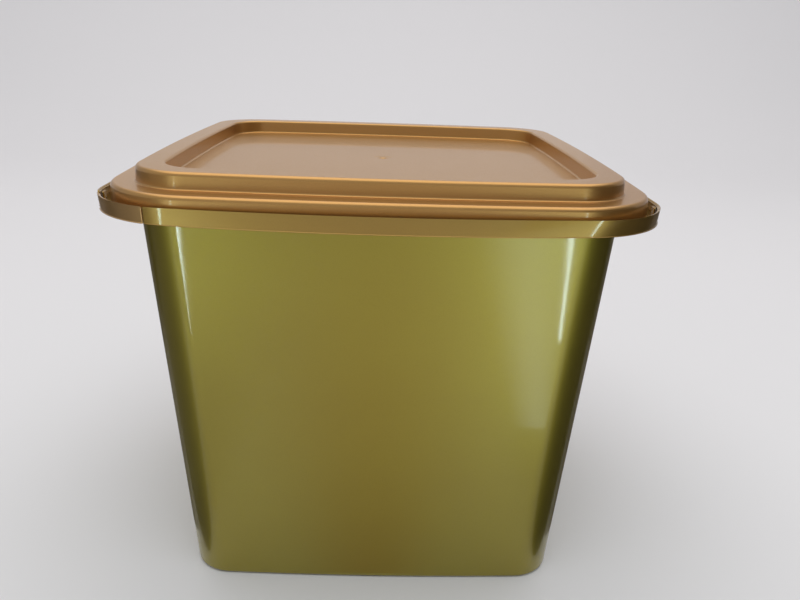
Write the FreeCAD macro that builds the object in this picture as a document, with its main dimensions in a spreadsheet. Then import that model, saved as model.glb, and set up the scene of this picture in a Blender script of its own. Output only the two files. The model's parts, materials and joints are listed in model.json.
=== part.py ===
import FreeCAD, Part
import math
import os
import Sketcher

# A shut square food tub: a tapered moulded tub with a tamper-evident collar round its rim, and
# the stacking lid whose skirt sits inside that collar. Millimetres, +Z up. The origin is the
# middle of the footprint, at the level the tub stands on. The front of the tub faces -Y.
#
# Every horizontal section is the same kind of outline, a rounded square whose four sides bow
# gently outward. A section is three sizes: the half-width at the middle of a side, the radius
# that the side is bowed to, and the corner radius.

SIZES = {
    # tub wall
    "base_half": 76.2,
    "base_side_radius": 1450.0,
    "base_corner": 16.0,
    "base_edge": 1.6,
    "wall_draft": 3.68,
    "rim_level": 161.0,
    "rim_side_radius": 1693.0,
    "rim_corner": 16.0,
    # foot ring under the base
    "foot_width": 7.0,
    "foot_depth": 1.2,
    # lid
    "lid_wall": 1.5,
    "lid_side_radius": 1000.0,
    "shoulder_reach": 10.85,
    "shoulder_corner": 32.2,
    "shoulder_edge": 1.5,
    "skirt_height": 5.0,
    "skirt_flare": 0.2,
    "stack_height": 6.0,
    "stack_width": 9.6,
    "stack_draft": 0.15,
    "stack_corner": 21.8,
    "stack_edge": 1.5,
    "recess_clearance": 2.0,
    "recess_corner": 11.7,
    "recess_draft": 0.3,
    # collar of the tub
    "rim_clearance": 0.4,
    "collar_gap": 3.2,
    "collar_wall": 1.5,
    "collar_side_radius": 580.0,
    "collar_corner": 25.4,
    "collar_foot_side_radius": 515.0,
    "collar_foot_corner": 30.0,
    "collar_foot_flare": 0.3,
    "collar_drop": 8.0,
    "collar_height": 6.0,
    "web_rise": 1.0,
    "web_wall": 1.5,
    # shallow lugs on the collar's inner face, one each side of a corner, a little short of the
    # plane through the centre of the collar's corner arc
    "lug_setback": 3.2,
    "lug_length": 4.0,
    "lug_clearance": 0.3,
    "lug_height": 2.8,
    # tear-off corner of the collar, with a slit a little past that plane on each side
    "front_slit_shift": 5.5,
    "front_slit_width": 1.4,
    "side_slit_shift": 2.7,
    "side_slit_width": 4.4,
}

QUARTER_TURN = math.pi / 2


def size(name):
    """The sheet's value of that name, as it is written in an expression."""
    return "sizes." + name


def section(half, side_radius, corner):
    """The three expressions that make a section."""
    return {"half": half, "side_radius": side_radius, "corner": corner}


def inset(outline, distance):
    """The parallel outline that lies the distance inside another one."""
    return {key: "(%s - (%s))" % (value, distance) for key, value in outline.items()}


BASE = section(size("base_half"), size("base_side_radius"), size("base_corner"))
RIM_HALF = "(sizes.base_half + sizes.rim_level * tan(sizes.wall_draft * 1 deg))"
RIM = section(RIM_HALF, size("rim_side_radius"), size("rim_corner"))
SHOULDER_HALF = "(%s + sizes.shoulder_reach)" % RIM_HALF
SHOULDER = section(SHOULDER_HALF, size("lid_side_radius"), size("shoulder_corner"))
SKIRT_FOOT = inset(SHOULDER, "-sizes.skirt_flare")
RECESS_HALF = "(sizes.base_half + sizes.recess_clearance)"
RECESS = section(RECESS_HALF, size("lid_side_radius"), size("recess_corner"))
RECESS_TOP = inset(RECESS, "-sizes.recess_draft")
STACK_HALF = "(%s + sizes.recess_draft + sizes.stack_width)" % RECESS_HALF
STACK_TOP = section(STACK_HALF, size("lid_side_radius"), size("stack_corner"))
STACK_FOOT = inset(STACK_TOP, "-sizes.stack_draft")
RIM_BAND = inset(SHOULDER, "sizes.lid_wall + sizes.rim_clearance")
COLLAR_HALF = "(%s + sizes.collar_gap + sizes.collar_wall)" % SHOULDER_HALF
COLLAR_TOP = section(COLLAR_HALF, size("collar_side_radius"), size("collar_corner"))
COLLAR_FOOT = section("(%s + sizes.collar_foot_flare)" % COLLAR_HALF,
                      size("collar_foot_side_radius"), size("collar_foot_corner"))

COLLAR_FOOT_LEVEL = "(sizes.rim_level - sizes.collar_drop)"
COLLAR_TOP_LEVEL = "(%s + sizes.collar_height)" % COLLAR_FOOT_LEVEL
WEB_LEVEL = "(%s + sizes.web_rise)" % COLLAR_FOOT_LEVEL
WEB_TOP_LEVEL = "(%s + sizes.web_wall)" % WEB_LEVEL
SHOULDER_LEVEL = "(sizes.rim_level + sizes.lid_wall)"
SKIRT_FOOT_LEVEL = "(sizes.rim_level - sizes.skirt_height)"
STACK_TOP_LEVEL = "(%s + sizes.stack_height)" % SHOULDER_LEVEL


def corner_centre(outline):
    """How far the centre of a section's corner arc lies from both middle planes."""
    outer = "((%(side_radius)s) - (%(corner)s))" % outline
    inner = "((%(side_radius)s) - (%(half)s))" % outline
    return "((sqrt(2 * %s ^ 2 - %s ^ 2) - %s) / 2)" % (outer, inner, inner)


def corner_reach(outline, offset):
    """How far a section reaches out where its corner is the offset from the middle plane."""
    centre = corner_centre(outline)
    return "(%s + sqrt((%s) ^ 2 - ((%s) - %s) ^ 2))" % (centre, outline["corner"], offset, centre)


def side_reach(outline, offset):
    """How far a section reaches out where its side is the offset from the middle plane."""
    radius = outline["side_radius"]
    return "(sqrt((%s) ^ 2 - (%s) ^ 2) - (%s) + %s)" % (radius, offset, radius, outline["half"])


def make_sheet(doc):
    sheet = doc.addObject("Spreadsheet::Sheet", "sizes")
    for row, (name, value) in enumerate(SIZES.items(), start=1):
        sheet.set("A%d" % row, name)
        sheet.set("B%d" % row, str(value))
        sheet.setAlias("B%d" % row, name)
    doc.recompute()
    return sheet


def make_body(doc, name):
    body = doc.addObject("PartDesign::Body", name)
    body.Label = name
    body.Placement = FreeCAD.Placement()
    return body


def origin_feature(body, role):
    return next(item for item in body.Origin.OriginFeatures if item.Role == role)


def make_sketch(body, name, level):
    """An empty sketch on the body's own horizontal plane, lifted to a level."""
    sketch = body.newObject("Sketcher::SketchObject", name)
    sketch.AttachmentSupport = [(origin_feature(body, "XY_Plane"), "")]
    sketch.MapMode = "FlatFace"
    sketch.setExpression("AttachmentOffset.Base.z", level)
    return sketch


def draw_outline(sketch, outline, label="outline"):
    """Draw a section as four side arcs and four corner arcs, all tangent, in a sketch."""
    half, side_radius, corner = (float(sketch.evalExpression(outline[key]))
                                 for key in ("half", "side_radius", "corner"))
    back = side_radius - half
    centre = float(sketch.evalExpression(corner_centre(outline)))
    swing = math.atan2(centre, centre + back)
    first = sketch.GeometryCount
    for quarter in range(4):
        turn = quarter * QUARTER_TURN
        along = FreeCAD.Vector(math.cos(turn), math.sin(turn), 0)
        across = FreeCAD.Vector(-math.sin(turn), math.cos(turn), 0)
        side = Part.Circle(along * -back, FreeCAD.Vector(0, 0, 1), side_radius)
        bend = Part.Circle((along + across) * centre, FreeCAD.Vector(0, 0, 1), corner)
        sketch.addGeometry(Part.ArcOfCircle(side, turn - swing, turn + swing), False)
        sketch.addGeometry(
            Part.ArcOfCircle(bend, turn + swing, turn + QUARTER_TURN - swing), False)
    constrain_outline(sketch, outline, first, label)


def constrain_outline(sketch, outline, first, label):
    """Hold the eight arcs together and tie their three sizes to the sheet."""
    arcs = [first + step for step in range(8)]
    for arc, following in zip(arcs, arcs[1:] + arcs[:1]):
        sketch.addConstraint(Sketcher.Constraint("Tangent", arc, 2, following, 1))
    for arc in arcs[2:]:
        sketch.addConstraint(Sketcher.Constraint("Equal", arcs[(arc - first) % 2], arc))
    for arc, axis in zip(arcs[::2], (-1, -2, -1, -2)):
        sketch.addConstraint(Sketcher.Constraint("PointOnObject", arc, 3, axis))
    bind(sketch, label + "_side", outline["side_radius"], "Radius", arcs[0])
    bind(sketch, label + "_corner", outline["corner"], "Radius", arcs[1])
    back = "(%(side_radius)s) - (%(half)s)" % outline
    east, north, west, south = arcs[::2]
    for side, points in ((east, (east, 3, -1, 1)), (west, (-1, 1, west, 3))):
        bind(sketch, "%s_back_%d" % (label, side), back, "DistanceX", *points)
    for side, points in ((north, (north, 3, -1, 1)), (south, (-1, 1, south, 3))):
        bind(sketch, "%s_back_%d" % (label, side), back, "DistanceY", *points)


def bind(sketch, name, expression, kind, *geometry):
    """Add one named driving dimension and tie it to an expression."""
    value = float(sketch.evalExpression(expression))
    index = sketch.addConstraint(Sketcher.Constraint(kind, *geometry, value))
    sketch.renameConstraint(index, name)
    sketch.setExpression("Constraints." + name, expression)


def draw_rectangle(sketch, left, right, near, far, label="slot"):
    """Draw a rectangle between two distances left of the middle and two in front of it."""
    west, east, south, north = (-float(sketch.evalExpression(edge))
                                for edge in (left, right, far, near))
    corners = [FreeCAD.Vector(x, y, 0) for x, y in
               ((west, south), (east, south), (east, north), (west, north))]
    first = sketch.GeometryCount
    for start, end in zip(corners, corners[1:] + corners[:1]):
        sketch.addGeometry(Part.LineSegment(start, end), False)
    for line in range(4):
        sketch.addConstraint(
            Sketcher.Constraint("Coincident", first + line, 2, first + (line + 1) % 4, 1))
        direction = "Horizontal" if line % 2 == 0 else "Vertical"
        sketch.addConstraint(Sketcher.Constraint(direction, first + line))
    for line, point, kind, name, edge in (
            (0, 1, "DistanceX", "left", left), (0, 2, "DistanceX", "right", right),
            (0, 1, "DistanceY", "far", far), (2, 1, "DistanceY", "near", near)):
        bind(sketch, label + "_" + name, edge, kind, first + line, point, -1, 1)


def loft(body, kind, name, profiles):
    """A straight-sided loft through sections given as (outline, level) pairs."""
    sketches = []
    for step, (outline, level) in enumerate(profiles):
        sketch = make_sketch(body, "%s_section_%d" % (name, step), level)
        draw_outline(sketch, outline)
        sketches.append(sketch)
    feature = body.newObject("PartDesign::%sLoft" % kind, name)
    feature.Profile = sketches[0]
    feature.Sections = sketches[1:]
    feature.Ruled = True
    return feature


def extrude(body, kind, name, sketch, length, reverse=False):
    """A pad or a pocket of a sketch, of the given length."""
    feature = body.newObject("PartDesign::" + kind, name)
    feature.Profile = sketch
    feature.setExpression("Length", length)
    feature.Reversed = reverse
    return feature


def level_edges(shape, level, nearest, farthest):
    """Names of the edges that lie flat at a level and reach out between two distances."""
    names = []
    for number, edge in enumerate(shape.Edges, start=1):
        box = edge.BoundBox
        reach = max(abs(box.XMin), abs(box.XMax), abs(box.YMin), abs(box.YMax))
        flat = abs(box.ZMin - level) < 0.01 and abs(box.ZMax - level) < 0.01
        if flat and nearest < reach < farthest:
            names.append("Edge%d" % number)
    return names


def fillet(body, name, radius, level, nearest, farthest):
    """Round the edges of the body's last feature that lie at a level."""
    body.Document.recompute()
    last = body.Tip
    level, nearest, farthest = (float(body.evalExpression(value))
                                for value in (level, nearest, farthest))
    edges = level_edges(last.Shape, level, nearest, farthest)
    feature = body.newObject("PartDesign::Fillet", name)
    feature.Base = (last, edges)
    feature.setExpression("Radius", radius)
    return feature


def turn_copies(body, name, feature, count):
    """Repeat a feature evenly round the upright axis."""
    body.Document.recompute()
    pattern = body.newObject("PartDesign::PolarPattern", name)
    pattern.Originals = [feature]
    pattern.Axis = (origin_feature(body, "Z_Axis"), [""])
    pattern.Angle = 360
    pattern.Occurrences = count
    body.Tip = pattern
    return pattern


def add_collar(tub):
    """The thin upstanding collar, and the web that carries it."""
    wall = size("collar_wall")
    loft(tub, "Additive", "collar",
         [(COLLAR_FOOT, COLLAR_FOOT_LEVEL), (COLLAR_TOP, COLLAR_TOP_LEVEL)])
    loft(tub, "Subtractive", "collar_hollow",
         [(inset(COLLAR_FOOT, wall), COLLAR_FOOT_LEVEL), (inset(COLLAR_TOP, wall), COLLAR_TOP_LEVEL)])
    web = make_sketch(tub, "web_section", WEB_LEVEL)
    draw_outline(web, inset(COLLAR_FOOT, wall + " / 2"))
    extrude(tub, "Pad", "web", web, size("web_wall"))


def add_collar_lugs(tub):
    """Shallow lugs on the collar's inner face, one each side of every corner."""
    sketch = make_sketch(tub, "lug_section", WEB_TOP_LEVEL)
    setback = "(%s - sizes.lug_setback)" % corner_centre(COLLAR_TOP)
    near = "(%s - sizes.lug_length / 2)" % setback
    far = "(%s + sizes.lug_length / 2)" % setback
    free = "(%s + sizes.lug_clearance)" % side_reach(SKIRT_FOOT, near)
    buried = side_reach(inset(COLLAR_TOP, size("collar_wall") + " * 0.6"), setback)
    draw_rectangle(sketch, far, near, free, buried, "left")
    draw_rectangle(sketch, "-" + near, "-" + far, free, buried, "right")
    lugs = extrude(tub, "Pad", "lugs", sketch, size("lug_height"))
    turn_copies(tub, "lugs_all_round", lugs, 4)


def slit_edges(name):
    """How far from the middle plane a slit starts and ends, and the inner face it reaches."""
    middle = "(%s + sizes.%s_shift)" % (corner_centre(COLLAR_TOP), name)
    near = "(%s - sizes.%s_width / 2)" % (middle, name)
    far = "(%s + sizes.%s_width / 2)" % (middle, name)
    return near, far, corner_reach(inset(COLLAR_FOOT, size("collar_wall")), far)


def cut_tear_off_corner(tub):
    """Two slits through the collar, either side of the corner that tears off."""
    outside = "(%s + 2 * sizes.collar_wall)" % COLLAR_HALF
    near, far, inside = slit_edges("front_slit")
    front = make_sketch(tub, "front_slit_section", COLLAR_TOP_LEVEL)
    draw_rectangle(front, far, near, inside, outside)
    extrude(tub, "Pocket", "front_slit", front, size("collar_height"))
    near, far, inside = slit_edges("side_slit")
    side = make_sketch(tub, "side_slit_section", COLLAR_TOP_LEVEL)
    draw_rectangle(side, outside, inside, near, far)
    extrude(tub, "Pocket", "side_slit", side, size("collar_height"))


def make_tub(doc):
    tub = make_body(doc, "tub")
    add_collar(tub)
    band = make_sketch(tub, "rim_band_section", WEB_LEVEL)
    draw_outline(band, RIM_BAND)
    extrude(tub, "Pad", "rim_band", band, "sizes.rim_level - " + WEB_LEVEL)
    loft(tub, "Additive", "wall", [(BASE, "0"), (RIM, size("rim_level"))])
    fillet(tub, "base_edge", size("base_edge"), "0", "0", "sizes.base_half * 2")
    hollow = make_sketch(tub, "foot_section", "0")
    draw_outline(hollow, inset(BASE, size("foot_width")))
    extrude(tub, "Pocket", "foot_hollow", hollow, size("foot_depth"), reverse=True)
    add_collar_lugs(tub)
    cut_tear_off_corner(tub)
    return tub


def hollow_lid(lid):
    """The room inside the skirt, and the channel under the stacking rim."""
    skirt = make_sketch(lid, "skirt_hollow_section", SKIRT_FOOT_LEVEL)
    draw_outline(skirt, inset(SHOULDER, size("lid_wall")))
    extrude(lid, "Pocket", "skirt_hollow", skirt, size("skirt_height"), reverse=True)
    channel = make_sketch(lid, "channel_section", size("rim_level"))
    draw_outline(channel, inset(STACK_TOP, size("lid_wall")), "outer")
    draw_outline(channel, inset(RECESS_TOP, "-" + size("lid_wall")), "inner")
    extrude(lid, "Pocket", "rim_channel", channel, size("stack_height"), reverse=True)


def make_lid(doc):
    lid = make_body(doc, "lid")
    loft(lid, "Additive", "skirt", [(SKIRT_FOOT, SKIRT_FOOT_LEVEL), (SHOULDER, SHOULDER_LEVEL)])
    loft(lid, "Additive", "stacking_rim",
         [(STACK_FOOT, SHOULDER_LEVEL), (STACK_TOP, STACK_TOP_LEVEL)])
    loft(lid, "Subtractive", "stacking_recess",
         [(RECESS, SHOULDER_LEVEL), (RECESS_TOP, STACK_TOP_LEVEL)])
    between = "(%s + %s) / 2" % (STACK_HALF, SHOULDER_HALF)
    fillet(lid, "stack_edges", size("stack_edge"), STACK_TOP_LEVEL, "0", SHOULDER_HALF)
    fillet(lid, "shoulder_edge", size("shoulder_edge"), SHOULDER_LEVEL, between,
           SHOULDER_HALF + " * 2")
    hollow_lid(lid)
    return lid


def check(doc, bodies):
    """Stop at any failed feature and at any piece that isn't one valid solid."""
    for item in doc.Objects:
        if {"Invalid", "Error"} & set(item.State):
            raise RuntimeError("%s is %s" % (item.Name, item.State))
    for body in bodies:
        if body.Shape.isNull() or not body.Shape.isValid() or len(body.Shape.Solids) != 1:
            raise RuntimeError("%s is not one valid solid" % body.Label)


def main():
    doc = FreeCAD.newDocument("food_tub")
    make_sheet(doc)
    bodies = [make_tub(doc), make_lid(doc)]
    doc.recompute()
    check(doc, bodies)
    os.makedirs("parts", exist_ok=True)
    for body in bodies:
        body.Shape.exportStep("parts/%s.step" % body.Label)
        box = body.Shape.BoundBox
        print("%s: volume %.0f, box %.2f %.2f %.2f to %.2f %.2f %.2f"
              % (body.Label, body.Shape.Volume, box.XMin, box.YMin, box.ZMin,
                 box.XMax, box.YMax, box.ZMax))


main()
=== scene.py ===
# A shut square food tub: a tapered tub of metallic gold plastic, the tamper-evident collar round
# its rim with a tear-off corner, and a stacking lid. Every horizontal outline is a rounded square
# whose sides bow gently outward, as in the CAD model. The front faces -Y, lengths are millimetres
# until a mesh is written.
import json
import math

import bmesh
import bpy
from mathutils import Matrix, Vector

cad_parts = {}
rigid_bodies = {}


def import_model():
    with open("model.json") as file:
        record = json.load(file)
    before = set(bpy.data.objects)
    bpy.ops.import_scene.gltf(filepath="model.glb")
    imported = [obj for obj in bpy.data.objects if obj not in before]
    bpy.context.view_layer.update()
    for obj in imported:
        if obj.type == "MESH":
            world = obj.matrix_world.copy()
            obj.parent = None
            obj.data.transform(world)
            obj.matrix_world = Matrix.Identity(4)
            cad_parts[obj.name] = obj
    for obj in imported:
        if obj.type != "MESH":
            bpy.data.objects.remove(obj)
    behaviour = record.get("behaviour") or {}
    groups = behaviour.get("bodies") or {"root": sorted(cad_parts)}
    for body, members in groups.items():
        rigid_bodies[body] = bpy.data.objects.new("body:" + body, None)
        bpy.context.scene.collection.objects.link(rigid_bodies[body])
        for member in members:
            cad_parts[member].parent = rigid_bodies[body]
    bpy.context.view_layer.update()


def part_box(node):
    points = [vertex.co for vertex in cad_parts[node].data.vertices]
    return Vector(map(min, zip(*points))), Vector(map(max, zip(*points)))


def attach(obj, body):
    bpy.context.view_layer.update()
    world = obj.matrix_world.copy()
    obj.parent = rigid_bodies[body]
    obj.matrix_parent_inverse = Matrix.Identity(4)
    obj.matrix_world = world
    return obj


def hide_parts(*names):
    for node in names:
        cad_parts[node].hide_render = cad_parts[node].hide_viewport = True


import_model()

MM = 0.001
_, TUB_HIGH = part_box("tub")
LID_LOW, LID_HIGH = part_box("lid")
RIM_LEVEL = TUB_HIGH.z / MM
LID_TOP = LID_HIGH.z / MM
SKIRT_FOOT = LID_LOW.z / MM
COLLAR_HALF = TUB_HIGH.x / MM

# ---------------------------------------------------------------- outlines


def rounded(half, side_radius, corner, front=None):
    """An outline as a function of how far round it is and how far inside it.

    half and side_radius are those of the left and right sides, and of the front and back too
    unless front gives their own pair. The way round runs from 0 to 8: the even steps are the
    sides, starting at +X, and the odd steps are the corners after them. The corner's centre is
    where its arc touches both sides, which a few rounds of refining settle.
    """
    sides = ((half, side_radius), front or (half, side_radius))
    backs = [radius - reach for reach, radius in sides]
    centre = [half - corner, half - corner]
    for _ in range(30):
        for axis in (0, 1):
            span = sides[axis][1] - corner
            centre[axis] = math.sqrt(span * span - centre[1 - axis] ** 2) - backs[axis]
    swings = [math.atan2(centre[1 - axis], centre[axis] + backs[axis]) for axis in (0, 1)]

    def point(way, inset=0.0):
        step = min(int(way % 8), 7)
        part = way % 8 - step
        quarter = step // 2
        axis = quarter % 2
        turn = quarter * math.pi / 2
        along = Vector((math.cos(turn), math.sin(turn)))
        across = Vector((-math.sin(turn), math.cos(turn)))
        if step % 2 == 0:
            angle = (2 * part - 1) * swings[axis]
            middle, radius = along * -backs[axis], sides[axis][1]
        else:
            angle = swings[axis] + part * (math.pi / 2 - sum(swings))
            middle, radius = along * centre[axis] + across * centre[1 - axis], corner
        ray = along * math.cos(angle) + across * math.sin(angle)
        return middle + ray * (radius - inset)

    return point


def circle(radius):
    """A round outline whose places line up with those of the rounded squares."""
    def point(way, inset=0.0):
        angle = (way - 0.5) * math.pi / 4
        return Vector((math.cos(angle), math.sin(angle))) * (radius - inset)

    return point


def between(first, second, mix):
    """The outline that lies the given share of the way from one outline to another."""
    return lambda way, inset=0.0: first(way, inset).lerp(second(way, inset), mix)


def shrunk(outline, share):
    """An outline drawn in towards the middle."""
    return lambda way, inset=0.0: outline(way, inset) * share


# The tub's wall runs from BASE to RIM. On the lid, SHOULDER is the outer edge, STACK the outside
# and RECESS the inside of the rim that another tub stacks in.
BASE = rounded(76.2, 1450, 16)
RIM = rounded(86.56, 1693, 16)
SHOULDER = rounded(97.41, 1300, 34.5, front=(97.41, 1000))
STACK = rounded(87.8, 1600, 21.8, front=(88.1, 1000))
RECESS = rounded(78.0, 1600, 15.5, front=(78.2, 1000))
COLLAR_TOP = rounded(COLLAR_HALF - 1.2, 2200, 34, front=(COLLAR_HALF - 0.3, 580))
COLLAR_FOOT = rounded(COLLAR_HALF - 1.0, 2200, 38, front=(COLLAR_HALF, 515))

# The web is the ledge that joins the tub's wall to the foot of its collar.
COLLAR_TOP_LEVEL = RIM_LEVEL - 2
COLLAR_FOOT_LEVEL = RIM_LEVEL - 8
WEB_LEVEL = COLLAR_FOOT_LEVEL + 1
WEB_TOP = WEB_LEVEL + 1.5
PANEL_LEVEL = RIM_LEVEL + 1.5
COLLAR_WALL = 1.5
LID_WALL = 1.5


def wall_at(level):
    return between(BASE, RIM, level / RIM_LEVEL)


def collar_at(level):
    share = (level - COLLAR_FOOT_LEVEL) / (COLLAR_TOP_LEVEL - COLLAR_FOOT_LEVEL)
    return between(COLLAR_FOOT, COLLAR_TOP, share)


# ---------------------------------------------------------------- meshes


def ways(side_steps, corner_steps):
    """Evenly spaced places round a whole outline."""
    found = []
    for step in range(8):
        count = side_steps if step % 2 == 0 else corner_steps
        found += [step + place / count for place in range(count)]
    return found


def bend(start, end, steps, bulge):
    """Insets and levels along a quarter turn from one (inset, level) to another.

    bulge "across" leaves the start level and meets the end upright; "up" is the other way round.
    """
    rows = []
    for step in range(steps + 1):
        angle = step / steps * math.pi / 2
        if bulge == "across":
            share_across, share_up = math.sin(angle), 1 - math.cos(angle)
        else:
            share_across, share_up = 1 - math.cos(angle), math.sin(angle)
        rows.append((start[0] + (end[0] - start[0]) * share_across,
                     start[1] + (end[1] - start[1]) * share_up))
    return rows


def edge(outline, *turn):
    """Rings along an outline through a bend, which may be a rounded edge or a hollow."""
    return [(outline, inset, level) for inset, level in bend(*turn)]


def make_object(name, verts, faces, material):
    """A smooth piece in metres from verts in millimetres."""
    mesh = bpy.data.meshes.new(name)
    mesh.from_pydata([Vector(v) * MM for v in verts], [], faces)
    tidy = bmesh.new()
    tidy.from_mesh(mesh)
    bmesh.ops.recalc_face_normals(tidy, faces=tidy.faces)
    tidy.to_mesh(mesh)
    tidy.free()
    mesh.polygons.foreach_set("use_smooth", [True] * len(mesh.polygons))
    mesh.materials.append(material)
    mesh.update()
    piece = bpy.data.objects.new(name, mesh)
    bpy.context.scene.collection.objects.link(piece)
    even = piece.modifiers.new("even_normals", "WEIGHTED_NORMAL")
    even.keep_sharp = True
    even.weight = 90
    return piece


def loft_rings(rings, places):
    """Verts and faces of a closed skin through (outline, inset, level) rings, capped at both ends."""
    verts, faces = [], []
    count = len(places)
    for outline, inset, level in rings:
        verts += [(*outline(way, inset), level) for way in places]
    for row in range(len(rings) - 1):
        for column in range(count):
            after = (column + 1) % count
            low, high = row * count, (row + 1) * count
            faces.append((low + column, low + after, high + after, high + column))
    for row, order in ((0, 1), (len(rings) - 1, -1)):
        verts.append((0, 0, rings[row][2]))
        hub = len(verts) - 1
        for column in range(count):
            pair = (row * count + (column + 1) % count, row * count + column)
            faces.append((hub, *pair[::order]))
    return verts, faces


def make_tub(material):
    """The closed tub, from under its foot ring up to the flat top of the band round its mouth."""
    base_edge, foot_width, foot_depth, soft = 1.6, 7.0, 1.2, 0.5
    rings = [(shrunk(BASE, share), 0, foot_depth) for share in (0.05, 0.3, 0.6, 0.8)]
    rings += edge(BASE, (foot_width + soft, foot_depth), (foot_width, foot_depth - soft),
                  4, "across")
    rings += edge(BASE, (foot_width, soft), (foot_width - soft, 0), 4, "up")
    rings += [(wall_at(level), inset, level)
              for inset, level in bend((base_edge, 0), (0, base_edge), 8, "across")]

    flare = 0.8
    wall_top = WEB_LEVEL - flare
    wall_steps = 40
    for step in range(1, wall_steps):
        level = base_edge + (wall_top - base_edge) * step / wall_steps
        rings.append((wall_at(level), 0, level))
    rings += [(wall_at(level), inset, level)
              for inset, level in bend((0, wall_top), (-flare, WEB_LEVEL), 5, "up")]

    web_edge, chamfer = COLLAR_WALL / 2, 0.2
    rings += [(COLLAR_FOOT, web_edge + 1, WEB_LEVEL),
              (COLLAR_FOOT, web_edge, WEB_LEVEL + chamfer),
              (COLLAR_FOOT, web_edge, WEB_TOP - chamfer),
              (COLLAR_FOOT, web_edge + chamfer, WEB_TOP)]

    band, band_top = 1.9, RIM_LEVEL - 0.1
    rings += [(SHOULDER, band, WEB_TOP),
              (SHOULDER, band, band_top - 0.3),
              (SHOULDER, band + 0.3, band_top)]
    rings += [(shrunk(SHOULDER, share), band, band_top) for share in (0.7, 0.3)]
    return make_object("tub_body", *loft_rings(rings, ways(40, 18)), material)


# The mark that the moulding gate leaves in the middle of the panel, as (radius, rise) pairs.
GATE_MARK = ((0.9, 0.16), (1.2, 0.12), (1.5, -0.12), (3.4, -0.16), (3.9, -0.1), (4.4, 0.0))


def make_lid(material):
    """The closed lid, from the middle of its panel out over the rims and back underneath."""
    hollow, soft, sharp = 0.8, 1.5, 1.0
    recess_lean, stack_lean, skirt_lean = 0.3, 0.15, 0.2
    top = LID_TOP
    rings = [(circle(radius), 0, PANEL_LEVEL + rise) for radius, rise in GATE_MARK]
    rings += [(shrunk(RECESS, share), 0, PANEL_LEVEL) for share in (0.1, 0.2, 0.4, 0.6, 0.8, 0.93)]
    rings += edge(RECESS, (hollow, PANEL_LEVEL), (0, PANEL_LEVEL + hollow), 6, "across")
    rings += edge(RECESS, (-recess_lean, top - sharp), (-recess_lean - sharp, top), 8, "up")
    rings += edge(STACK, (soft, top), (0, top - soft), 8, "across")
    rings += edge(STACK, (-stack_lean, PANEL_LEVEL + hollow), (-stack_lean - hollow, PANEL_LEVEL),
                  6, "up")
    rings += edge(SHOULDER, (soft, PANEL_LEVEL), (0, PANEL_LEVEL - soft), 8, "across")
    rings += edge(SHOULDER, (-skirt_lean, SKIRT_FOOT + 0.4), (skirt_lean, SKIRT_FOOT), 4, "up")

    inner, chamfer = LID_WALL, 0.3
    rings += [(SHOULDER, inner - 0.2, SKIRT_FOOT),
              (SHOULDER, inner, SKIRT_FOOT + 0.2),
              (SHOULDER, inner, RIM_LEVEL - chamfer),
              (SHOULDER, inner + chamfer, RIM_LEVEL),
              (STACK, inner, RIM_LEVEL),
              (STACK, inner, top - inner - chamfer),
              (STACK, inner + chamfer, top - inner),
              (RECESS, -inner - 2 * chamfer, top - inner),
              (RECESS, -inner - chamfer, top - inner - chamfer),
              (RECESS, -inner - chamfer, RIM_LEVEL)]
    rings += [(shrunk(RECESS, share), 0, RIM_LEVEL) for share in (0.8, 0.3)]
    return make_object("lid_shell", *loft_rings(rings, ways(40, 20)), material)


X, Y = 0, 1
NUDGE = 0.01


def way_along(distance, outline, way):
    """How much of the way round a distance along the outline takes."""
    return distance / (outline(way + NUDGE) - outline(way)).length * NUDGE


def crossing(outline, first, last, axis, value):
    """How far round an outline reaches a value along an axis, found by halving first to last."""
    rising = outline(last)[axis] > outline(first)[axis]
    for _ in range(40):
        middle = (first + last) / 2
        if (outline(middle)[axis] < value) == rising:
            first = middle
        else:
            last = middle
    return (first + last) / 2


# A band is its two insets, its two levels, and the radii of its edges: outer lower, outer upper,
# inner upper and inner lower. The lugs reach a little into the collar and the web.
COLLAR_BAND = ((0, COLLAR_WALL), (COLLAR_FOOT_LEVEL, COLLAR_TOP_LEVEL), (0.3, 0.55, 0.45, 0.3))
LUG_BAND = ((COLLAR_WALL - 0.3, COLLAR_WALL + 0.9), (WEB_TOP - 0.3, WEB_TOP + 2.6), (0.3,) * 4)
CORNER_STEPS = 5
END_EASE = 0.6


def band_section(band, shrink):
    """A band's cut face as (inset, level) points, drawn in on all sides by shrink."""
    insets, levels, radii = band
    rows = []
    for corner, radius in enumerate(radii):
        inner, upper = corner // 2, corner in (1, 2)
        radius = max(radius - shrink, 0.05)
        inset = insets[1] - shrink - radius if inner else insets[0] + shrink + radius
        level = levels[1] - shrink - radius if upper else levels[0] + shrink + radius
        for step in range(CORNER_STEPS):
            angle = math.radians(180 - 90 * corner - 90 * step / (CORNER_STEPS - 1))
            rows.append((inset + radius * math.cos(angle), level + radius * math.sin(angle)))
    return rows


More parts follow.
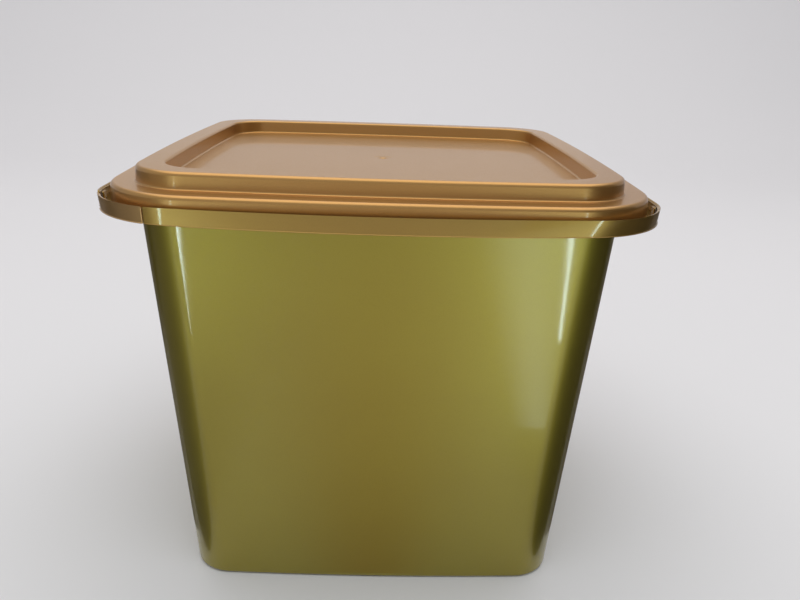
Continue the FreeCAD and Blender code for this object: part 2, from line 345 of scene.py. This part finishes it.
def strip(band, start, end, steps):
    """Verts and faces of a length of a band that follows the collar, with rounded ends.

    start and end are (axis, value, first, last): where each end's upright cut crosses the collar.
    """
    sections = []
    for step in range(CORNER_STEPS):
        angle = step / (CORNER_STEPS - 1) * math.pi / 2
        sections.append((0.0, END_EASE * (1 - math.cos(angle)), END_EASE * (1 - math.sin(angle))))
    sections += [(step / steps, None, 0.0) for step in range(1, steps)]
    for along, ease, shrink in reversed(sections[:CORNER_STEPS]):
        sections.append((1.0, -ease, shrink))
    verts, known = [], {}
    for along, ease, shrink in sections:
        for inset, level in band_section(band, shrink):
            outline = collar_at(level)
            if (inset, level) not in known:
                known[inset, level] = [
                    crossing(lambda way: outline(way, inset), first, last, axis, value)
                    for axis, value, first, last in (start, end)]
            ends = list(known[inset, level])
            if ends[1] < ends[0]:
                ends[1] += 8
            if ease is None:
                eased = [way_along(END_EASE, outline, way) for way in ends]
                way = ends[0] + eased[0] + along * (ends[1] - ends[0] - sum(eased))
            else:
                way = ends[int(along)]
                way += way_along(ease, outline, way)
            verts.append((*outline(way, inset), level))
    count = len(band[2]) * CORNER_STEPS
    faces = [(row * count + column, row * count + (column + 1) % count,
              (row + 1) * count + (column + 1) % count, (row + 1) * count + column)
             for row in range(len(sections) - 1) for column in range(count)]
    faces.append(tuple(range(count))[::-1])
    faces.append(tuple((len(sections) - 1) * count + column for column in range(count)))
    return verts, faces


def make_strips(name, strips, material):
    """One piece made of several strips."""
    verts, faces = [], []
    for more_verts, more_faces in strips:
        first = len(verts)
        verts += more_verts
        faces += [tuple(first + index for index in face) for face in more_faces]
    return make_object(name, verts, faces, material)


def lug_strips():
    """The shallow lugs on the collar's inner face, one at each end of each side."""
    near, far = 65.5, 69.5
    strips = []
    for quarter in range(4):
        axis = (Y, X)[quarter % 2]
        sign = 1 if quarter in (0, 3) else -1
        side = 2 * quarter
        strips.append(strip(LUG_BAND, (axis, sign * near, side + 0.5, side + 1.5),
                            (axis, sign * far, side + 0.5, side + 1.5), 6))
        strips.append(strip(LUG_BAND, (axis, -sign * far, side - 0.5, side + 0.5),
                            (axis, -sign * near, side - 0.5, side + 0.5), 6))
    return strips


# ---------------------------------------------------------------- materials


def new_material(name):
    material = bpy.data.materials.new(name)
    material.use_nodes = True
    nodes, links = material.node_tree.nodes, material.node_tree.links
    return material, nodes, links, nodes["Principled BSDF"]


def node(nodes, kind, **values):
    made = nodes.new("ShaderNode" + kind)
    for key, value in values.items():
        if key in made.inputs:
            made.inputs[key].default_value = value
        else:
            setattr(made, key.lower(), value)
    return made


def gold_plastic(name, colour, deep, roughness, coat):
    """Metallic gold plastic: clouded pigment, a fine flake that sparkles, and a moulded skin."""
    material, nodes, links, shader = new_material(name)
    place = node(nodes, "TexCoord")
    clouds = node(nodes, "TexNoise", Scale=14.0, Detail=3.0, Roughness=0.55)
    flake = node(nodes, "TexVoronoi", Scale=3200.0)
    grain = node(nodes, "TexNoise", Scale=900.0, Detail=3.0)
    flow = node(nodes, "TexNoise", Scale=55.0, Detail=3.0)
    stretch = node(nodes, "Mapping", Scale=(1.0, 1.0, 0.12))
    links.new(place.outputs["Object"], stretch.inputs["Vector"])
    for texture in (clouds, flake, grain):
        links.new(place.outputs["Object"], texture.inputs["Vector"])
    links.new(stretch.outputs["Vector"], flow.inputs["Vector"])
    tone = node(nodes, "Mix", data_type="RGBA")
    links.new(clouds.outputs["Fac"], tone.inputs["Factor"])
    tone.inputs["A"].default_value = (*deep, 1)
    tone.inputs["B"].default_value = (*colour, 1)
    spread = node(nodes, "MapRange")
    links.new(flake.outputs["Distance"], spread.inputs["Value"])
    spread.inputs["To Min"].default_value = 1.04
    spread.inputs["To Max"].default_value = 0.95
    flaked = node(nodes, "VectorMath", operation="SCALE")
    links.new(tone.outputs["Result"], flaked.inputs[0])
    links.new(spread.outputs["Result"], flaked.inputs["Scale"])
    links.new(flaked.outputs["Vector"], shader.inputs["Base Color"])
    rough = node(nodes, "MapRange")
    links.new(grain.outputs["Fac"], rough.inputs["Value"])
    rough.inputs["To Min"].default_value = roughness - 0.04
    rough.inputs["To Max"].default_value = roughness + 0.04
    links.new(rough.outputs["Result"], shader.inputs["Roughness"])
    skin = node(nodes, "Bump", Strength=0.10, Distance=0.0001)
    links.new(flow.outputs["Fac"], skin.inputs["Height"])
    fine = node(nodes, "Bump", Strength=0.08, Distance=0.00002)
    links.new(grain.outputs["Fac"], fine.inputs["Height"])
    links.new(skin.outputs["Normal"], fine.inputs["Normal"])
    links.new(fine.outputs["Normal"], shader.inputs["Normal"])
    shader.inputs["Metallic"].default_value = 0.9
    shader.inputs["Coat Weight"].default_value = coat
    shader.inputs["Coat Roughness"].default_value = 0.07
    shader.inputs["Coat IOR"].default_value = 1.45
    return material


def plain_floor():
    material, nodes, links, shader = new_material("pale_floor")
    shader.inputs["Specular IOR Level"].default_value = 0
    grain = node(nodes, "TexNoise", Scale=6.0, Detail=4.0)
    ramp = node(nodes, "ValToRGB")
    ramp.color_ramp.elements[0].color = (0.72, 0.72, 0.735, 1)
    ramp.color_ramp.elements[1].color = (0.75, 0.745, 0.76, 1)
    links.new(grain.outputs["Fac"], ramp.inputs["Fac"])
    links.new(ramp.outputs["Color"], shader.inputs["Base Color"])
    shader.inputs["Roughness"].default_value = 0.6
    return material


# ---------------------------------------------------------------- pieces

# The tub, collar and lid are one gold plastic: the lid's pinker copper tone is partly its own and partly
# painted warm light from above.
olive_gold = gold_plastic("olive_gold_plastic", (0.34, 0.292, 0.038), (0.302, 0.241, 0.033), 0.42, 0.9)
bronze_gold = gold_plastic("bronze_gold_plastic", (0.43, 0.275, 0.066), (0.385, 0.238, 0.053), 0.36, 0.6)
# Painted light: the tab is the collar's plastic, made paler and pinker here to offset the dark shade
# card at its corner.
tab_gold_lightened = gold_plastic("tab_gold_lightened_plastic", (0.66, 0.42, 0.18), (0.60, 0.375, 0.15), 0.38, 0.6)
copper_gold = gold_plastic("copper_gold_plastic", (0.55, 0.31, 0.10), (0.50, 0.275, 0.083), 0.36, 0.35)

tub = make_tub(olive_gold)
lid = make_lid(copper_gold)

# Two slits free the tear-off tab at the left front corner: one in the front, at these values of
# X, and one in the left side, at these values of Y.
TAB_FRONT_END, COLLAR_FRONT_END = -76.35, -76.05
TAB_SIDE_END, COLLAR_SIDE_END = -75.0, -72.4
collar_strip = strip(COLLAR_BAND, (X, COLLAR_FRONT_END, 5, 7), (Y, COLLAR_SIDE_END, 4, 6), 300)
tab_strip = strip(COLLAR_BAND, (Y, TAB_SIDE_END, 4, 6), (X, TAB_FRONT_END, 5, 7), 36)
collar = make_strips("tub_collar", [collar_strip], bronze_gold)
tab = make_strips("tear_off_tab", [tab_strip], tab_gold_lightened)
lugs = make_strips("collar_lugs", lug_strips(), bronze_gold)

# The web and the band above it have the collar's colour.
tub.data.materials.append(bronze_gold)
for face in tub.data.polygons:
    if face.center.z > (WEB_LEVEL + 0.1) * MM:
        face.material_index = 1

for piece in (tub, collar, tab, lugs):
    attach(piece, "root")
    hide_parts("tub")
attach(lid, "root")
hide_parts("lid")

# ---------------------------------------------------------------- floor, camera and light


def make_floor():
    """The floor, and the backdrop that it sweeps up into behind the tub."""
    mesh = bpy.data.meshes.new("floor")
    far, near, wide, high, bend_radius = 0.9, -3.0, 4.0, 3.0, 0.6
    rows = [(near, 0.0), (0.0, 0.0), (far, 0.0)]
    rows += [(far + bend_radius * math.sin(a), bend_radius * (1 - math.cos(a)))
             for a in (step / 12 * math.pi / 2 for step in range(1, 13))]
    rows.append((far + bend_radius, high))
    verts = [(x, y, z) for y, z in rows for x in (-wide, wide)]
    faces = [(2 * i, 2 * i + 1, 2 * i + 3, 2 * i + 2) for i in range(len(rows) - 1)]
    mesh.from_pydata(verts, [], faces)
    mesh.polygons.foreach_set("use_smooth", [True] * len(mesh.polygons))
    mesh.materials.append(plain_floor())
    floor = bpy.data.objects.new("floor", mesh)
    bpy.context.scene.collection.objects.link(floor)
    return floor


make_floor()


MIDDLE = (0, 0)
CORNER = 0.075
LEFT_FRONT, RIGHT_FRONT = (-CORNER, -CORNER), (CORNER, -CORNER)
LEFT_BACK, RIGHT_BACK = (-CORNER, CORNER), (CORNER, CORNER)
GAP_OUT, GAP_BACK = 0.274, 0.04
WHITE = (1, 1, 1)
COOL = (0.80, 1.0, 1.05)
LEAFY = (0.65, 1.0, 0.7)
# How far out the cards reach. The tub's wall mirrors the near ones, the collar and lid the others.
WHOLE, NEAR, FAR = (0, 1.6), (0, 0.5), (0.5, 1.6)
NEAR_LINE, FAR_LINE = (0.2, 0.6), (0.6, 1.6)
LOWEST_CARD, CARD_STEP = 0.0004, 0.0001


def only_in_gloss(piece):
    """Hides a card or a gel from all but the gloss of what stands by it."""
    piece.visible_camera = piece.visible_diffuse = piece.visible_shadow = False
    bpy.context.scene.collection.objects.link(piece)


def card(name, apex, heading, half_angle, soft, tint, reach=WHOLE, glow=0.0, colour=WHITE):
    """A wedge on the floor that is only seen in the object's gloss, to shade or to brighten it.

    heading is the wedge's middle, in degrees from the front towards the right. The wedge fades
    out over soft degrees on each side of half_angle, and reach is how far from its apex it starts
    and ends. tint filters the floor, and glow adds light of a colour.
    """
    material, nodes, links, shader = new_material(name + "_card")
    nodes.remove(shader)
    place = node(nodes, "TexCoord")
    around = node(nodes, "TexGradient", gradient_type="RADIAL")
    links.new(place.outputs["Object"], around.inputs["Vector"])
    offset = node(nodes, "Math", operation="SUBTRACT")
    links.new(around.outputs["Fac"], offset.inputs[0])
    away = node(nodes, "Math", operation="ABSOLUTE")
    links.new(offset.outputs["Value"], away.inputs[0])
    fade = node(nodes, "MapRange", interpolation_type="SMOOTHSTEP")
    fade.inputs["From Min"].default_value = (half_angle + soft) / 360
    fade.inputs["From Max"].default_value = (half_angle - soft) / 360
    links.new(away.outputs["Value"], fade.inputs["Value"])
    clear = node(nodes, "BsdfTransparent")
    gel = node(nodes, "BsdfTransparent", Color=(*tint, 1))
    light = node(nodes, "Emission", Color=(*colour, 1), Strength=glow)
    both = node(nodes, "AddShader")
    links.new(gel.outputs["BSDF"], both.inputs[0])
    links.new(light.outputs["Emission"], both.inputs[1])
    mix = node(nodes, "MixShader")
    links.new(fade.outputs["Result"], mix.inputs["Fac"])
    links.new(clear.outputs["BSDF"], mix.inputs[1])
    links.new(both.outputs["Shader"], mix.inputs[2])
    links.new(mix.outputs["Shader"], nodes["Material Output"].inputs["Surface"])
    slope = math.tan(math.radians(half_angle + soft))
    mesh = bpy.data.meshes.new(name)
    start = max(reach[0], 0.001)
    verts = [(far, side * far * slope, 0) for far in (start, reach[1]) for side in (-1, 1)]
    mesh.from_pydata(verts, [], [(0, 2, 3, 1)])
    mesh.materials.append(material)
    wedge = bpy.data.objects.new(name, mesh)
    wedge.location = (*apex, LOWEST_CARD + CARD_STEP * len(bpy.data.objects))
    wedge.rotation_euler = (0, 0, math.radians(heading - 90))
    only_in_gloss(wedge)


def gel_wall(name, start, end, tint, height):
    """An upright gel between two places on the floor, which darkens what the lid mirrors."""
    material, nodes, links, shader = new_material(name + "_gel")
    nodes.remove(shader)
    gel = node(nodes, "BsdfTransparent", Color=(*tint, 1))
    links.new(gel.outputs["BSDF"], nodes["Material Output"].inputs["Surface"])
    mesh = bpy.data.meshes.new(name)
    foot = 0.01
    verts = [(*start, foot), (*end, foot), (*end, height), (*start, height)]
    mesh.from_pydata(verts, [], [(0, 1, 2, 3)])
    mesh.materials.append(material)
    only_in_gloss(bpy.data.objects.new(name, mesh))


# Painted shade: dark cards seen only in gloss put dark reflections into the rounded corners and the
# sides, where the room itself is not dark. The gap cards fill the triangles that the front and back ones
# leave beside the tub.
card("shade_left_front", LEFT_FRONT, -80, 40, 6, (0.17, 0.16, 0.15), NEAR)
card("shade_left_far", LEFT_FRONT, -80, 36, 8, (0.25, 0.21, 0.20), FAR)
card("shade_right_front", RIGHT_FRONT, 77, 43, 6, (0.05, 0.045, 0.04), NEAR)
card("shade_right_far", RIGHT_FRONT, 80, 42, 8, (0.09, 0.065, 0.05), FAR)
card("shade_left_back", LEFT_BACK, -110, 30, 6, (0.16, 0.145, 0.13))
card("shade_right_back", RIGHT_BACK, 110, 30, 6, (0.16, 0.145, 0.13))
card("shade_left_gap", (-GAP_OUT, GAP_BACK), 80, 20, 6, (0.24, 0.225, 0.21), (0, 0.2))
card("shade_right_gap", (GAP_OUT, GAP_BACK), -80, 20, 6, (0.18, 0.165, 0.15), (0, 0.2))

# Painted shade: gels seen only in gloss make the walls' reflections warmer and darker in the middle,
# front and back, and slightly dimmer in the front quarters, for the slow change of tone across the wall.
card("warm_shade_front", MIDDLE, 0, 13, 12, (0.90, 0.76, 0.62))
card("warm_shade_back", MIDDLE, 180, 13, 12, (0.92, 0.80, 0.68))
card("dim_left", LEFT_FRONT, -18, 14, 8, (0.78, 0.75, 0.74), (0.03, 0.5))
card("dim_right", RIGHT_FRONT, 18, 14, 8, (0.80, 0.78, 0.74), (0, 0.09))

# Painted highlights: cards that glow only in gloss, not lamps. The near ones draw the bright lines down
# the tub's corners; the far lines and glows put highlights and a greenish sheen on the lid and collar.
card("left_line", LEFT_FRONT, -21, 0.35, 0.3, WHITE, NEAR_LINE, 32, COOL)
card("right_line", RIGHT_FRONT, 18.3, 0.3, 0.3, WHITE, NEAR_LINE, 32, COOL)
card("right_glow", RIGHT_FRONT, 12, 5, 5, WHITE, (0.1, 0.6), 1.8, COOL)
card("left_far_line", LEFT_FRONT, -34, 0.6, 0.4, WHITE, FAR_LINE, 30, COOL)
card("right_far_line", RIGHT_FRONT, 32, 0.6, 0.4, WHITE, FAR_LINE, 30, COOL)
card("left_far_glow", LEFT_FRONT, -30, 9, 8, (0.70, 0.88, 0.80), FAR_LINE, 0.35, LEAFY)
card("right_far_glow", RIGHT_FRONT, 25, 8, 7, (0.72, 0.90, 0.82), FAR_LINE, 0.45, LEAFY)

# Painted shade: upright gels seen only in gloss darken what the lid's right side mirrors; no wall stands
# there.
gel_wall("right_shade_sheet", (0.75, -2.0), (0.75, 0.1), (0.2, 0.16, 0.13), 0.7)
gel_wall("right_back_shade_sheet", (0.31, 0.8), (1.6, 0.8), (0.86, 0.86, 0.90), 1.3)


def area_light(name, place, target, size, power, colour):
    """A square soft light that shines from one place towards another."""
    data = bpy.data.lights.new(name, "AREA")
    data.shape = "SQUARE"
    data.size = size
    data.energy = power
    data.color = colour
    lamp = bpy.data.objects.new(name, data)
    lamp.location = place
    aim = Vector(target) - Vector(place)
    lamp.rotation_euler = aim.to_track_quat("-Z", "Y").to_euler()
    lamp.visible_camera = False
    bpy.context.scene.collection.objects.link(lamp)
    return lamp


area_light("ceiling", (0, 0.2, 1.6), (0, 0, 0), 2.4, 22, (1.0, 0.96, 0.93))
front_fill = area_light("front_fill", (0, -0.55, 0.9), (0, -0.12, 0), 0.6, 1.2, (0.85, 1.0, 1.0))
front_fill.visible_glossy = False

world = bpy.data.worlds.new("studio")
bpy.context.scene.world = world
world.use_nodes = True
world.node_tree.nodes["Background"].inputs["Color"].default_value = (0.80, 0.80, 0.82, 1)
world.node_tree.nodes["Background"].inputs["Strength"].default_value = 0.6


def make_camera():
    """The camera stands in front of the tub, looks down at it and leans a little to one side."""
    yaw, pitch, roll = math.radians(1.595), math.radians(-19.406), math.radians(2.015)
    ahead = Vector((math.sin(yaw) * math.cos(pitch), math.cos(yaw) * math.cos(pitch),
                    math.sin(pitch)))
    right = Vector((math.cos(yaw), -math.sin(yaw), 0))
    up = right.cross(ahead)
    tilted_right = right * math.cos(roll) + up * math.sin(roll)
    tilted_up = up * math.cos(roll) - right * math.sin(roll)
    data = bpy.data.cameras.new("camera")
    data.sensor_width = 36
    data.lens = 33.09705
    data.clip_start = 0.01
    camera = bpy.data.objects.new("camera", data)
    turn = Matrix((tilted_right, tilted_up, -ahead)).transposed()
    camera.matrix_world = Matrix.Translation((0.00059, -0.32727, 0.21135)) @ turn.to_4x4()
    bpy.context.scene.collection.objects.link(camera)
    bpy.context.scene.camera = camera


make_camera()
bpy.context.scene.view_settings.view_transform = "Standard"
